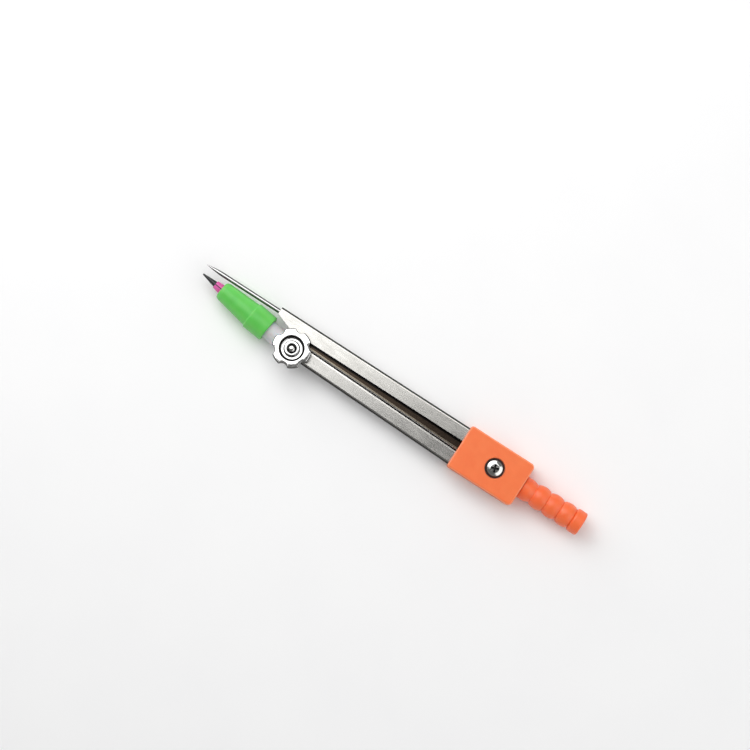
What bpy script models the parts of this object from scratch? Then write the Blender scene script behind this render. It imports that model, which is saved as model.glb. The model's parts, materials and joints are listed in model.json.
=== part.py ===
"""Drawing compass, closed and lying on its back.

A plastic yoke head with a ribbed handle holds two folded steel legs on one pivot screw. The
needle leg carries a fixed needle. The pencil leg ends in a knee: a bolt with a thumb nut that
clamps a lead holder with a collet, a screw-on nose cap and a 2 mm lead.

Metres, +Z up. +X runs from the points to the handle, +Y towards the needle leg, and z = 0 is
the plane that the compass rests on. Lengths below are counted from the pivot axis unless a
comment says otherwise.
"""
import math

import bmesh
import bpy

MM = 0.001
FIT_GAP = 0.08 * MM  # between pieces stacked on one axis, and round a shaft

# Overall
NEEDLE_REACH = 104.3 * MM
HANDLE_REACH = 30.7 * MM
SWING_LIMIT = math.radians(60)

# Yoke head
HEAD_FRONT = 12.3 * MM  # from the pivot to the edge that the legs leave
HEAD_REAR = 9.8 * MM
HEAD_WIDTH = 14.2 * MM
HEAD_THICKNESS = 8.8 * MM
BACK_PLATE = 1.8 * MM
FRONT_PLATE = 2.0 * MM
HEAD_EDGE = 0.6 * MM
HEAD_REAR_CORNER = 1.3 * MM
HEAD_FRONT_CORNER = 0.8 * MM
SLOT_REAR = 4.9 * MM

# Pivot hardware
SLEEVE_RADIUS = 2.0 * MM
PIVOT_THREAD_RADIUS = 1.22 * MM
FRONT_COUNTERBORE_RADIUS = 3.1 * MM
FRONT_COUNTERBORE_DEPTH = 1.3 * MM
BACK_COUNTERBORE_RADIUS = 3.0 * MM
BACK_COUNTERBORE_DEPTH = 1.0 * MM
SCREW_HEAD_RADIUS = 2.55 * MM
WASHER_THICKNESS = 0.25 * MM

# Legs: folded sheet channels, open towards each other
SHEET = 0.6 * MM
LEG_WIDTH = 4.45 * MM
CHANNEL_START = 6.5 * MM
EAR_RADIUS = 4.3 * MM
BEND_RADIUS = 0.5 * MM
NEEDLE_LEG_OFFSET = 3.93 * MM  # from the pivot to the leg's centreline
NEEDLE_LEG_REACH = 78.4 * MM
NOSE_LENGTH = 5.8 * MM
NOSE_CUT = 2.15 * MM
PENCIL_LEG_OFFSET = 4.49 * MM
PENCIL_LEG_TURN = math.radians(-1.4)  # the pencil leg closes in towards its knee
KNEE_REACH = 69.15 * MM
WEB_CUT_BACK = 3.6 * MM  # from the knee axis, so that the lead holder can bend out
LIP_NEAR, LIP_FAR = 9.5 * MM, 66.5 * MM  # the back flanges are wider between these
LIP_SLOPE = 1.5 * MM
PENCIL_LIP = 0.55 * MM
LIP_GAP = 0.3 * MM  # between the two back flanges when the compass is closed
LIP_ROOT = 0.03 * MM  # how far out the lips start, which keeps the outline's corners off one line

# Needle
NEEDLE_RADIUS = 0.7 * MM
NEEDLE_SIDE = 4.7 * MM
NEEDLE_REAR = 70.5 * MM
NEEDLE_TAPER = 5.0 * MM
WEDGE_REAR = 71.0 * MM
WEDGE_OUTER = 5.0 * MM

# Knee hardware
KNEE_BOLT_RADIUS = 1.25 * MM
KNEE_BOLT_TOP = 9.5 * MM
KNEE_HEAD_RADIUS = 2.6 * MM
KNEE_WASHER_THICKNESS = 0.35 * MM
KNEE_SPACER_THICKNESS = 0.8 * MM
NUT_RADIUS = 5.95 * MM
NUT_HEIGHT = 3.0 * MM
NUT_LOBES = 6
NUT_VALLEY_ANGLE = math.radians(36)
NUT_VALLEY_RADIUS = 1.7 * MM
NUT_VALLEY_CENTRE = 6.75 * MM

# Lead holder, with lengths counted from the knee axis along the holder
HOLDER_TURN = math.radians(-7.5)  # in the compass frame
LUG_RADIUS = 2.4 * MM
LUG_THICKNESS = 2.7 * MM
LUG_NECK_WIDTH = 4.3 * MM
BARREL_REAR = 3.0 * MM
BARREL_SHOULDER = 11.9 * MM
BARREL_FRONT = 20.5 * MM
BARREL_RADIUS = 2.9 * MM
BARREL_NECK_RADIUS = 2.4 * MM
LEAD_BORE_RADIUS = 1.1 * MM
LEAD_BORE_END = 7.0 * MM
COLLET_BORE_RADIUS = 1.85 * MM
CAP_REAR = 9.3 * MM
CAP_STEP = 15.8 * MM
CAP_FRONT = 27.5 * MM
CAP_BAND_RADIUS = 4.25 * MM
CAP_STEP_RADIUS = 3.85 * MM
CAP_NOSE_RADIUS = 3.0 * MM
COLLET_REAR = 12.5 * MM
COLLET_TIP = 29.9 * MM
COLLET_RADIUS = 1.75 * MM
COLLET_SLIT = 0.3 * MM
COLLET_SLIT_REAR = 17.0 * MM
LEAD_RADIUS = 1.0 * MM
LEAD_REAR = 10.8 * MM
LEAD_CONE = 29.6 * MM
LEAD_TIP = 34.8 * MM
LEAD_TIP_RADIUS = 0.25 * MM

# Handle, with lengths counted from the pivot
HANDLE_BASE = HEAD_REAR + 0.1 * MM
HANDLE_BASE_RADIUS = 3.55 * MM
HANDLE_GROOVE_RADIUS = 3.05 * MM
HANDLE_RIB_RADIUS = 3.85 * MM
HANDLE_GROOVES = (13.8 * MM, 18.3 * MM, 22.8 * MM, 27.3 * MM)
SPIGOT_RADIUS = 1.95 * MM
SPIGOT_END = 6.5 * MM
SOCKET_RADIUS = 2.05 * MM
SOCKET_END = 6.3 * MM

# Heights that follow from the sizes above
SLOT_FLOOR = BACK_PLATE
SLOT_ROOF = HEAD_THICKNESS - FRONT_PLATE
WASHER_ROOM = WASHER_THICKNESS + 2 * FIT_GAP
LEG_BOTTOM = SLOT_FLOOR + WASHER_ROOM
LEG_TOP = SLOT_ROOF - WASHER_ROOM
LEG_MIDDLE = (LEG_BOTTOM + LEG_TOP) / 2
HEAD_MIDDLE = HEAD_THICKNESS / 2
KNEE_SPACER_BOTTOM = LEG_TOP + FIT_GAP
NUT_BOTTOM = KNEE_SPACER_BOTTOM + KNEE_SPACER_THICKNESS + FIT_GAP

# The pivot's place, which puts the origin under the middle of the whole compass
KNEE_SIDE = (PENCIL_LEG_OFFSET * math.cos(PENCIL_LEG_TURN)
             + KNEE_REACH * math.sin(PENCIL_LEG_TURN))
PIVOT_X = (NEEDLE_REACH - HANDLE_REACH) / 2
PIVOT_Y = (KNEE_SIDE + NUT_RADIUS - HEAD_WIDTH / 2) / 2

PAST = 1.0 * MM  # how far a cutter runs past the face it cuts through
MERGE = 0.0005 * MM
ALONG_MINUS_X = (0, -math.pi / 2, 0)
ALONG_PLUS_X = (0, math.pi / 2, 0)


def clear_scene():
    for obj in list(bpy.data.objects):
        bpy.data.objects.remove(obj, do_unlink=True)


def new_collection(name):
    collection = bpy.data.collections.new(name)
    bpy.context.scene.collection.children.link(collection)
    return collection


def new_material(name, colour, roughness, metallic=0.0):
    material = bpy.data.materials.new(name)
    material.use_nodes = True
    shader = material.node_tree.nodes["Principled BSDF"]
    shader.inputs["Base Color"].default_value = (*colour, 1.0)
    shader.inputs["Roughness"].default_value = roughness
    shader.inputs["Metallic"].default_value = metallic
    material.diffuse_color = (*colour, 1.0)
    return material


def new_empty(name, location, turn=0.0, parent=None):
    empty = bpy.data.objects.new(name, None)
    empty.empty_display_size = 5 * MM
    empty.location = location
    empty.rotation_euler.z = turn
    empty.parent = parent
    cutters.objects.link(empty)
    return empty


def finish_piece(obj, parent, material=None):
    """A piece with a material belongs to the compass, and one without is a cutter."""
    obj.parent = parent
    (compass if material else cutters).objects.link(obj)
    if material:
        obj.data.materials.append(material)
    else:
        obj.hide_render = True
        obj.display_type = "WIRE"
    obj.data.shade_smooth()
    obj.data.set_sharp_from_angle(angle=math.radians(30))
    return obj


def mesh_from_bmesh(name, bm):
    mesh = bpy.data.meshes.new(name)
    bm.to_mesh(mesh)
    bm.free()
    return bpy.data.objects.new(name, mesh)


def box(name, parent, low, high, material=None):
    bm = bmesh.new()
    bmesh.ops.create_cube(bm, size=1.0)
    for vert in bm.verts:
        for i in range(3):
            vert.co[i] = low[i] if vert.co[i] < 0 else high[i]
    return finish_piece(mesh_from_bmesh(name, bm), parent, material)


def cylinder(name, parent, radius, low, high, centre=(0, 0), turn=(0, 0, 0), steps=32):
    """A cutter from low to high along its own axis, which is Z unless turn says otherwise."""
    bm = bmesh.new()
    bmesh.ops.create_cone(bm, cap_ends=True, segments=steps, radius1=radius,
                          radius2=radius, depth=high - low)
    bmesh.ops.translate(bm, verts=bm.verts, vec=(0, 0, (low + high) / 2))
    obj = finish_piece(mesh_from_bmesh(name, bm), parent)
    obj.rotation_euler = turn
    obj.location = (*centre, 0) if len(centre) == 2 else centre
    return obj


def turned(name, parent, profile, material, closed=False, turn=(0, 0, 0),
           location=(0, 0, 0), steps=32):
    """A profile of (radius, height) points turned round Z. Its outer side runs downwards."""
    bm = bmesh.new()
    verts = [bm.verts.new((radius, 0, height)) for radius, height in profile]
    for first, second in zip(verts, verts[1:] + verts[:1] if closed else verts[1:]):
        bm.edges.new((first, second))
    obj = mesh_from_bmesh(name, bm)
    screw = obj.modifiers.new("Turn", "SCREW")
    screw.steps = steps
    screw.render_steps = steps
    screw.use_merge_vertices = True
    screw.merge_threshold = MERGE
    screw.use_smooth_shade = True
    finish_piece(obj, parent, material)
    obj.rotation_euler = turn
    obj.location = location
    return obj


def ring(name, parent, inner, outer, low, high, material):
    profile = [(outer, high), (outer, low), (inner, low), (inner, high)]
    return turned(name, parent, profile, material, closed=True)


def arc(centre, radius, start, end, steps):
    """Points on an arc in the XY plane, angles in degrees, both ends included."""
    points = []
    for i in range(steps + 1):
        angle = math.radians(start + (end - start) * i / steps)
        points.append((centre[0] + radius * math.cos(angle),
                       centre[1] + radius * math.sin(angle)))
    return points


def plate(name, parent, outline, low, high, material=None):
    """A flat outline with thickness, made as a filled curve and turned into a mesh."""
    curve = bpy.data.curves.new(name, "CURVE")
    curve.dimensions = "2D"
    curve.fill_mode = "BOTH"
    curve.extrude = (high - low) / 2
    spline = curve.splines.new("POLY")
    spline.points.add(len(outline) - 1)
    for point, (x, y) in zip(spline.points, outline):
        point.co = (x, y, 0, 1)
    spline.use_cyclic_u = True
    flat = bpy.data.objects.new(name + "_outline", curve)
    bpy.context.scene.collection.objects.link(flat)
    evaluated = flat.evaluated_get(bpy.context.evaluated_depsgraph_get())
    mesh = bpy.data.meshes.new_from_object(evaluated)
    bpy.data.objects.remove(flat, do_unlink=True)
    bm = bmesh.new()
    bm.from_mesh(mesh)
    bmesh.ops.remove_doubles(bm, verts=bm.verts, dist=MERGE)
    bmesh.ops.translate(bm, verts=bm.verts, vec=(0, 0, (low + high) / 2))
    bmesh.ops.recalc_face_normals(bm, faces=bm.faces)
    bm.to_mesh(mesh)
    bm.free()
    mesh.name = name
    return finish_piece(bpy.data.objects.new(name, mesh), parent, material)


def round_long_edges(obj, side):
    """Round the two long edges at y = side, where a leg's sheet is folded."""
    bm = bmesh.new()
    bm.from_mesh(obj.data)
    folds = []
    for edge in bm.edges:
        first, second = (vert.co for vert in edge.verts)
        on_side = max(abs(first.y - side), abs(second.y - side)) < MERGE
        if on_side and abs(first.z - second.z) < MERGE:
            folds.append(edge)
    bmesh.ops.bevel(bm, geom=folds, offset=BEND_RADIUS, segments=3, profile=0.5,
                    affect="EDGES")
    bm.to_mesh(obj.data)
    bm.free()


def bevel(obj, width, segments=2):
    modifier = obj.modifiers.new("Round edges", "BEVEL")
    modifier.width = width
    modifier.segments = segments
    modifier.limit_method = "ANGLE"
    modifier.angle_limit = math.radians(50)


def cut(obj, *tools):
    for tool in tools:
        modifier = obj.modifiers.new("Cut " + tool.name, "BOOLEAN")
        modifier.operation = "DIFFERENCE"
        modifier.object = tool


def join(obj, *tools):
    for tool in tools:
        modifier = obj.modifiers.new("Join " + tool.name, "BOOLEAN")
        modifier.operation = "UNION"
        modifier.object = tool


def make_head():
    """The yoke: two plates with open sides, joined at the handle's end."""
    rear_corner, front_corner = HEAD_REAR_CORNER, HEAD_FRONT_CORNER
    half = HEAD_WIDTH / 2
    rear_x, front_x = HEAD_REAR - rear_corner, -HEAD_FRONT + front_corner
    outline = (arc((rear_x, half - rear_corner), rear_corner, 0, 90, 4)
               + arc((front_x, half - front_corner), front_corner, 90, 180, 3)
               + arc((front_x, front_corner - half), front_corner, 180, 270, 3)
               + arc((rear_x, rear_corner - half), rear_corner, 270, 360, 4))
    head = plate("head_yoke", pivot, outline, 0, HEAD_THICKNESS, orange)
    bevel(head, HEAD_EDGE)
    slot = box("cut_slot", pivot, (-HEAD_FRONT - PAST, -half - PAST, SLOT_FLOOR),
               (SLOT_REAR, half + PAST, SLOT_ROOF))
    bore = cylinder("cut_pivot_bore", pivot, SLEEVE_RADIUS + FIT_GAP, -PAST,
                    HEAD_THICKNESS + PAST)
    front = cylinder("cut_front_counterbore", pivot, FRONT_COUNTERBORE_RADIUS,
                     HEAD_THICKNESS - FRONT_COUNTERBORE_DEPTH, HEAD_THICKNESS + PAST)
    back = cylinder("cut_back_counterbore", pivot, BACK_COUNTERBORE_RADIUS, -PAST,
                    BACK_COUNTERBORE_DEPTH)
    socket = cylinder("cut_handle_socket", pivot, SOCKET_RADIUS, 0,
                      HEAD_REAR + PAST - SOCKET_END, centre=(SOCKET_END, 0, HEAD_MIDDLE),
                      turn=ALONG_PLUS_X)
    cut(head, slot, bore, front, back, socket)


def make_handle():
    """The ribbed handle, with a spigot that is fixed in the head's socket."""
    edge = 0.5 * MM
    steps = 6
    outer = [(SPIGOT_RADIUS, HANDLE_BASE), (HANDLE_BASE_RADIUS, HANDLE_BASE)]
    outer += [(HANDLE_BASE_RADIUS, HANDLE_BASE + 1.6 * MM)]
    for start, end in zip(HANDLE_GROOVES, HANDLE_GROOVES[1:]):
        for i in range(steps):
            swell = math.sin(math.pi * i / steps) ** 0.7
            radius = HANDLE_GROOVE_RADIUS + (HANDLE_RIB_RADIUS - HANDLE_GROOVE_RADIUS) * swell
            outer.append((radius, start + (end - start) * i / steps))
    outer += [(HANDLE_GROOVE_RADIUS, HANDLE_GROOVES[-1]),
              (HANDLE_RIB_RADIUS - edge / 2, HANDLE_GROOVES[-1] + edge),
              (HANDLE_RIB_RADIUS, HANDLE_GROOVES[-1] + 2 * edge),
              (HANDLE_RIB_RADIUS, HANDLE_REACH - edge),
              (HANDLE_RIB_RADIUS - edge, HANDLE_REACH), (0, HANDLE_REACH)]
    profile = outer[::-1] + [(SPIGOT_RADIUS, SPIGOT_END), (0, SPIGOT_END)]
    turned("handle", pivot, profile, handle_orange, turn=ALONG_PLUS_X,
           location=(0, 0, HEAD_MIDDLE))


def make_pivot_hardware():
    shaft_hole = SLEEVE_RADIUS + FIT_GAP
    seat = HEAD_THICKNESS - FRONT_COUNTERBORE_DEPTH
    head_low = seat + WASHER_ROOM
    head_top = HEAD_THICKNESS + 0.15 * MM
    screw_end = 1.2 * MM
    tip = 0.25 * MM
    screw = turned("pivot_screw", pivot,
                   [(0, head_top), (SCREW_HEAD_RADIUS * 0.5, head_top - 0.06 * MM),
                    (SCREW_HEAD_RADIUS * 0.82, head_top - 0.3 * MM),
                    (SCREW_HEAD_RADIUS, head_top - 0.75 * MM),
                    (SCREW_HEAD_RADIUS, head_low), (PIVOT_THREAD_RADIUS, head_low),
                    (PIVOT_THREAD_RADIUS, screw_end + tip),
                    (PIVOT_THREAD_RADIUS - tip, screw_end), (0, screw_end)], steel)
    reach, wide, deep = 1.5 * MM, 0.33 * MM, 0.75 * MM
    for name, size in (("cut_cross_x", (reach, wide)), ("cut_cross_y", (wide, reach))):
        slot = box(name, pivot, (-size[0], -size[1], head_top - deep),
                   (size[0], size[1], head_top + PAST))
        cut(screw, slot)
    flange_low, flange_top = 0.12 * MM, BACK_COUNTERBORE_DEPTH - FIT_GAP
    thread_hole = PIVOT_THREAD_RADIUS + FIT_GAP
    sleeve_top = seat - 0.2 * MM
    flange_radius = BACK_COUNTERBORE_RADIUS - 0.2 * MM
    nut = turned("pivot_sleeve_nut", pivot,
                 [(SLEEVE_RADIUS, sleeve_top), (SLEEVE_RADIUS, flange_top),
                  (flange_radius, flange_top), (flange_radius, flange_low),
                  (thread_hole, flange_low), (thread_hole, sleeve_top)], steel, closed=True)
    driver_slot = box("cut_driver_slot", pivot, (-4 * MM, -0.35 * MM, -PAST),
                      (4 * MM, 0.35 * MM, 0.5 * MM))
    cut(nut, driver_slot)
    spring_inner, spring_outer = 1.4 * MM, 2.9 * MM
    ring("pivot_spring_washer", pivot, spring_inner, spring_outer, seat + FIT_GAP,
         seat + FIT_GAP + WASHER_THICKNESS, dark_steel)
    washer_radius, spacer_radius = 3.7 * MM, 3.4 * MM
    ring("back_friction_washer", pivot, shaft_hole, washer_radius, SLOT_FLOOR + FIT_GAP,
         SLOT_FLOOR + FIT_GAP + WASHER_THICKNESS, nylon)
    ring("front_friction_washer", pivot, shaft_hole, washer_radius,
         SLOT_ROOF - FIT_GAP - WASHER_THICKNESS, SLOT_ROOF - FIT_GAP, nylon)
    ring("ear_spacer", pivot, shaft_hole, spacer_radius, LEG_BOTTOM + SHEET + FIT_GAP,
         LEG_TOP - SHEET - FIT_GAP, nylon)


def ear_corner(outer, swing):
    """How far along the leg its square shoulder may reach, to stop at the head's slot end."""
    clearance = 0.3 * MM
    return (outer * math.sin(swing) - SLOT_REAR + clearance) / math.cos(swing)


def ear_outline(inner, outer, swing):
    """The pivot end of a leg's outline, from its inner edge round the ear to its outer edge."""
    corner = 0.8 * MM
    shoulder = ear_corner(outer, swing)
    start = 180 - math.degrees(math.asin(inner / EAR_RADIUS))
    end = 360 + 180 - math.degrees(math.acos(shoulder / EAR_RADIUS))
    return (arc((0, 0), EAR_RADIUS, start, end, 28)
            + arc((-shoulder - corner, outer - corner), corner, 0, 90, 3))


def cut_channel(leg, axis, side, inner, outer, ear_on_top):
    """Hollow the leg out to a folded channel, and leave one sheet thickness for the ear.

    The lip past the inner edge stays on the back flange only.
    """
    far = NEEDLE_REACH
    low, high = LEG_BOTTOM + SHEET, LEG_TOP - SHEET
    clear = inner - 5 * MM
    spans = sorted((side * clear, side * (outer - SHEET)))
    channel = box("cut_channel_" + leg.name, axis, (-far, spans[0], low),
                  (-CHANNEL_START + PAST, spans[1], high))
    if ear_on_top:
        levels = (LEG_BOTTOM - PAST, high)
    else:
        levels = (low, LEG_TOP + PAST)
    around = EAR_RADIUS + 4 * MM
    ear = box("cut_ear_" + leg.name, axis, (-CHANNEL_START, -around, levels[0]),
              (around, around, levels[1]))
    hole = cylinder("cut_hole_" + leg.name, axis, SLEEVE_RADIUS + FIT_GAP,
                    LEG_BOTTOM - PAST, LEG_TOP + PAST)
    spans = sorted((side * clear, side * (inner + 0.02 * MM)))
    lip = box("cut_above_lip_" + leg.name, axis, (-far, spans[0], LEG_MIDDLE),
              (-CHANNEL_START - PAST, spans[1], LEG_TOP + PAST))
    cut(leg, lip, channel, ear, hole)


def make_needle_leg():
    inner = NEEDLE_LEG_OFFSET - LEG_WIDTH / 2
    outer = NEEDLE_LEG_OFFSET + LEG_WIDTH / 2
    nose = NEEDLE_LEG_REACH
    outline = ear_outline(inner, outer, SWING_LIMIT)
    outline += [(-nose, outer), (-nose, inner + NOSE_CUT), (-nose + NOSE_LENGTH, inner),
                (-LIP_FAR, inner - LIP_ROOT)]
    for along in (LIP_FAR - LIP_SLOPE, LIP_NEAR + LIP_SLOPE):
        pencil_inner = (math.tan(-PENCIL_LEG_TURN) * along
                        - (PENCIL_LEG_OFFSET - LEG_WIDTH / 2) / math.cos(PENCIL_LEG_TURN))
        outline.append((-along, pencil_inner + PENCIL_LIP + LIP_GAP))
    outline += [(-LIP_NEAR, inner - LIP_ROOT)]
    leg = plate("needle_leg", needle_axis, outline, LEG_BOTTOM, LEG_TOP, nickel)
    round_long_edges(leg, outer)
    cut_channel(leg, needle_axis, 1, inner, outer, ear_on_top=True)

    inset = 0.35 * MM
    front = nose - inset
    wedge = plate("needle_wedge", needle_axis,
                  [(-WEDGE_REAR, inner + inset), (-nose + NOSE_LENGTH - inset, inner + inset),
                   (-front, inner + NOSE_CUT + inset), (-front, WEDGE_OUTER),
                   (-WEDGE_REAR, WEDGE_OUTER)],
                  LEG_BOTTOM + SHEET + FIT_GAP, LEG_TOP - SHEET - FIT_GAP, dull_steel)
    groove = cylinder("cut_groove", needle_axis, NEEDLE_RADIUS + FIT_GAP, 0,
                      NEEDLE_REACH - NEEDLE_REAR + PAST,
                      centre=(-NEEDLE_REAR + PAST, NEEDLE_SIDE, LEG_MIDDLE),
                      turn=ALONG_MINUS_X)
    cut(wedge, groove)

    tip_radius = 0.05 * MM
    turned("needle", needle_axis,
           [(0, NEEDLE_REACH), (tip_radius, NEEDLE_REACH - tip_radius),
            (NEEDLE_RADIUS * 0.8, NEEDLE_REACH - NEEDLE_TAPER * 0.6),
            (NEEDLE_RADIUS, NEEDLE_REACH - NEEDLE_TAPER), (NEEDLE_RADIUS, NEEDLE_REAR),
            (0, NEEDLE_REAR)], steel, turn=ALONG_MINUS_X,
           location=(0, NEEDLE_SIDE, LEG_MIDDLE), steps=20)


def make_pencil_leg():
    inner = PENCIL_LEG_OFFSET - LEG_WIDTH / 2
    outer = PENCIL_LEG_OFFSET + LEG_WIDTH / 2
    outline = ear_outline(inner, outer, SWING_LIMIT + PENCIL_LEG_TURN)
    outline += arc((-KNEE_REACH, PENCIL_LEG_OFFSET), LEG_WIDTH / 2, 90, 270, 12)
    outline += [(-LIP_FAR, inner - LIP_ROOT), (-LIP_FAR + LIP_SLOPE, inner - PENCIL_LIP),
                (-LIP_NEAR - LIP_SLOPE, inner - PENCIL_LIP), (-LIP_NEAR, inner - LIP_ROOT)]
    outline = [(x, -y) for x, y in outline]
    leg = plate("pencil_leg", pencil_axis, outline, LEG_BOTTOM, LEG_TOP, nickel)
    round_long_edges(leg, -outer)
    cut_channel(leg, pencil_axis, -1, inner, outer, ear_on_top=False)
    fork = box("cut_fork", pencil_axis,
               (-KNEE_REACH - LEG_WIDTH, -outer - PAST, LEG_BOTTOM + SHEET),
               (-KNEE_REACH + WEB_CUT_BACK, -inner + PAST, LEG_TOP - SHEET))
    hole = cylinder("cut_knee_hole", pencil_axis, KNEE_BOLT_RADIUS + FIT_GAP,
                    LEG_BOTTOM - PAST, LEG_TOP + PAST,
                    centre=(-KNEE_REACH, -PENCIL_LEG_OFFSET))
    cut(leg, fork, hole)


def make_knee_hardware():
    washer_top = LEG_BOTTOM - FIT_GAP
    washer_bottom = washer_top - KNEE_WASHER_THICKNESS
    head_top = washer_bottom - FIT_GAP
    edge = 0.35 * MM
    tip = 0.25 * MM
    turned("knee_bolt", knee,
           [(0, KNEE_BOLT_TOP), (KNEE_BOLT_RADIUS - tip, KNEE_BOLT_TOP),
            (KNEE_BOLT_RADIUS, KNEE_BOLT_TOP - tip), (KNEE_BOLT_RADIUS, head_top),
            (KNEE_HEAD_RADIUS, head_top), (KNEE_HEAD_RADIUS, edge),
            (KNEE_HEAD_RADIUS - edge, 0), (0, 0)], steel)
    hole = KNEE_BOLT_RADIUS + FIT_GAP
    washer_radius, spacer_radius = 2.7 * MM, 2.6 * MM
    ring("knee_washer", knee, hole, washer_radius, washer_bottom, washer_top, steel)
    ring("knee_spacer", knee, hole, spacer_radius, KNEE_SPACER_BOTTOM,
         KNEE_SPACER_BOTTOM + KNEE_SPACER_THICKNESS, steel)


def make_thumb_nut():
    """A lobed nut with a dished face and a raised boss round its thread."""
    hole = KNEE_BOLT_RADIUS + FIT_GAP
    top = NUT_BOTTOM + NUT_HEIGHT
    floor = top - 1.2 * MM
    boss = top - 0.4 * MM
    boss_radius, floor_radius, dish_radius = 2.35 * MM, 3.45 * MM, 3.85 * MM
    edge = 0.3 * MM
    small_edge = 0.15 * MM
    nut = turned("thumb_nut", knee,
                 [(dish_radius, top), (NUT_RADIUS - edge, top), (NUT_RADIUS, top - edge),
                  (NUT_RADIUS, NUT_BOTTOM + edge), (NUT_RADIUS - edge, NUT_BOTTOM),
                  (hole, NUT_BOTTOM), (hole, boss - small_edge), (hole + small_edge, boss),
                  (boss_radius - small_edge, boss), (boss_radius, boss - small_edge),
                  (boss_radius, floor), (floor_radius, floor)],
                 chrome, closed=True, steps=60)
    for i in range(NUT_LOBES):
        angle = NUT_VALLEY_ANGLE + 2 * math.pi * i / NUT_LOBES - PENCIL_LEG_TURN
        valley = cylinder("cut_valley_%d" % i, knee, NUT_VALLEY_RADIUS, NUT_BOTTOM - PAST,
                          top + PAST, centre=(NUT_VALLEY_CENTRE * math.cos(angle),
                                              NUT_VALLEY_CENTRE * math.sin(angle)))
        cut(nut, valley)


def make_lead_holder():
    """The barrel with its flat lug, which the knee bolt clamps between the leg's flanges."""
    edge = 0.25 * MM
    holder = turned("lead_holder", holder_axis,
                    [(0, LEAD_BORE_END), (LEAD_BORE_RADIUS, LEAD_BORE_END),
                     (LEAD_BORE_RADIUS, COLLET_REAR - 0.5 * MM),
                     (COLLET_BORE_RADIUS, COLLET_REAR - 0.5 * MM),
                     (COLLET_BORE_RADIUS, BARREL_FRONT), (BARREL_NECK_RADIUS, BARREL_FRONT),
                     (BARREL_NECK_RADIUS, BARREL_SHOULDER), (BARREL_RADIUS, BARREL_SHOULDER),
                     (BARREL_RADIUS, BARREL_REAR + edge), (BARREL_RADIUS - edge, BARREL_REAR),
                     (0, BARREL_REAR)], milky_plastic, turn=ALONG_MINUS_X)
    half = LUG_THICKNESS / 2
    lug = plate("join_lug", holder_axis,
                [(-BARREL_REAR - PAST, LUG_NECK_WIDTH / 2),
                 (-BARREL_REAR - PAST, -LUG_NECK_WIDTH / 2)]
                + arc((0, 0), LUG_RADIUS, -116, 116, 18), -half, half)
    hole = cylinder("cut_lug_hole", holder_axis, KNEE_BOLT_RADIUS + FIT_GAP, -2 * half,
                    2 * half)
    join(holder, lug)
    cut(holder, hole)


def make_collet():
    """A slit sleeve whose fingers close on the lead as the nose cap pushes them in."""
    bore = LEAD_RADIUS + FIT_GAP
    shoulder_radius = 2.38 * MM
    nose_radius = 1.55 * MM
    collet = turned("collet", holder_axis,
                    [(bore, COLLET_TIP), (bore + 0.15 * MM, COLLET_TIP),
                     (nose_radius, CAP_FRONT), (nose_radius, 26.9 * MM),
                     (shoulder_radius, 22.6 * MM), (COLLET_RADIUS, 21.2 * MM),
                     (COLLET_RADIUS, COLLET_REAR), (bore, COLLET_REAR)],
                    pink_plastic, closed=True, turn=ALONG_MINUS_X)
    half, reach = COLLET_SLIT / 2, 3 * MM
    for name, size in (("cut_slit_flat", (reach, half)), ("cut_slit_upright", (half, reach))):
        slit = box(name, holder_axis, (-COLLET_TIP - PAST, -size[0], -size[1]),
                   (-COLLET_SLIT_REAR, size[0], size[1]))
        cut(collet, slit)


def make_nose_cap():
    band, step, nose = CAP_BAND_RADIUS, CAP_STEP_RADIUS, CAP_NOSE_RADIUS
    thread_hole = BARREL_NECK_RADIUS + 0.1 * MM
    mouth = BARREL_RADIUS + 0.12 * MM
    nose_hole = 1.65 * MM
    turned("nose_cap", holder_axis,
           [(nose_hole, CAP_FRONT), (nose - 0.7 * MM, CAP_FRONT),
            (nose - 0.25 * MM, CAP_FRONT - 0.35 * MM), (nose, CAP_FRONT - 1.1 * MM),
            (step, CAP_STEP + 0.15 * MM), (band - 0.1 * MM, CAP_STEP),
            (band, CAP_STEP - 0.3 * MM), (band - 0.1 * MM, CAP_REAR + 0.2 * MM),
            (band - 0.3 * MM, CAP_REAR), (mouth, CAP_REAR),
            (mouth, BARREL_SHOULDER + 0.1 * MM), (thread_hole, BARREL_SHOULDER + 0.1 * MM),
            (thread_hole, 22.5 * MM), (nose_hole, 26.9 * MM)],
           green_plastic, closed=True, turn=ALONG_MINUS_X, steps=40)


def make_lead():
    turned("lead", holder_axis,
           [(0, LEAD_TIP), (LEAD_TIP_RADIUS, LEAD_TIP - 0.1 * MM), (LEAD_RADIUS, LEAD_CONE),
            (LEAD_RADIUS, LEAD_REAR), (0, LEAD_REAR)], graphite, turn=ALONG_MINUS_X, steps=24)


clear_scene()
compass = new_collection("drawing_compass")
cutters = new_collection("cutters")

orange = new_material("orange_plastic", (0.93, 0.22, 0.08), 0.45)
handle_orange = new_material("handle_orange", (1.0, 0.16, 0.055), 0.4)
steel = new_material("bright_steel", (0.72, 0.72, 0.70), 0.2, 1.0)
dark_steel = new_material("dark_steel", (0.25, 0.25, 0.25), 0.35, 1.0)
nickel = new_material("satin_nickel", (0.62, 0.61, 0.58), 0.32, 1.0)
chrome = new_material("chrome", (0.85, 0.85, 0.85), 0.06, 1.0)
dull_steel = new_material("dull_steel", (0.42, 0.41, 0.39), 0.4, 1.0)
nylon = new_material("nylon", (0.8, 0.78, 0.72), 0.5)
milky_plastic = new_material("milky_plastic", (0.72, 0.70, 0.66), 0.35)
pink_plastic = new_material("pink_plastic", (0.76, 0.12, 0.42), 0.4)
green_plastic = new_material("green_plastic", (0.12, 0.6, 0.1), 0.4)
graphite = new_material("graphite", (0.02, 0.02, 0.022), 0.4)

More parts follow.
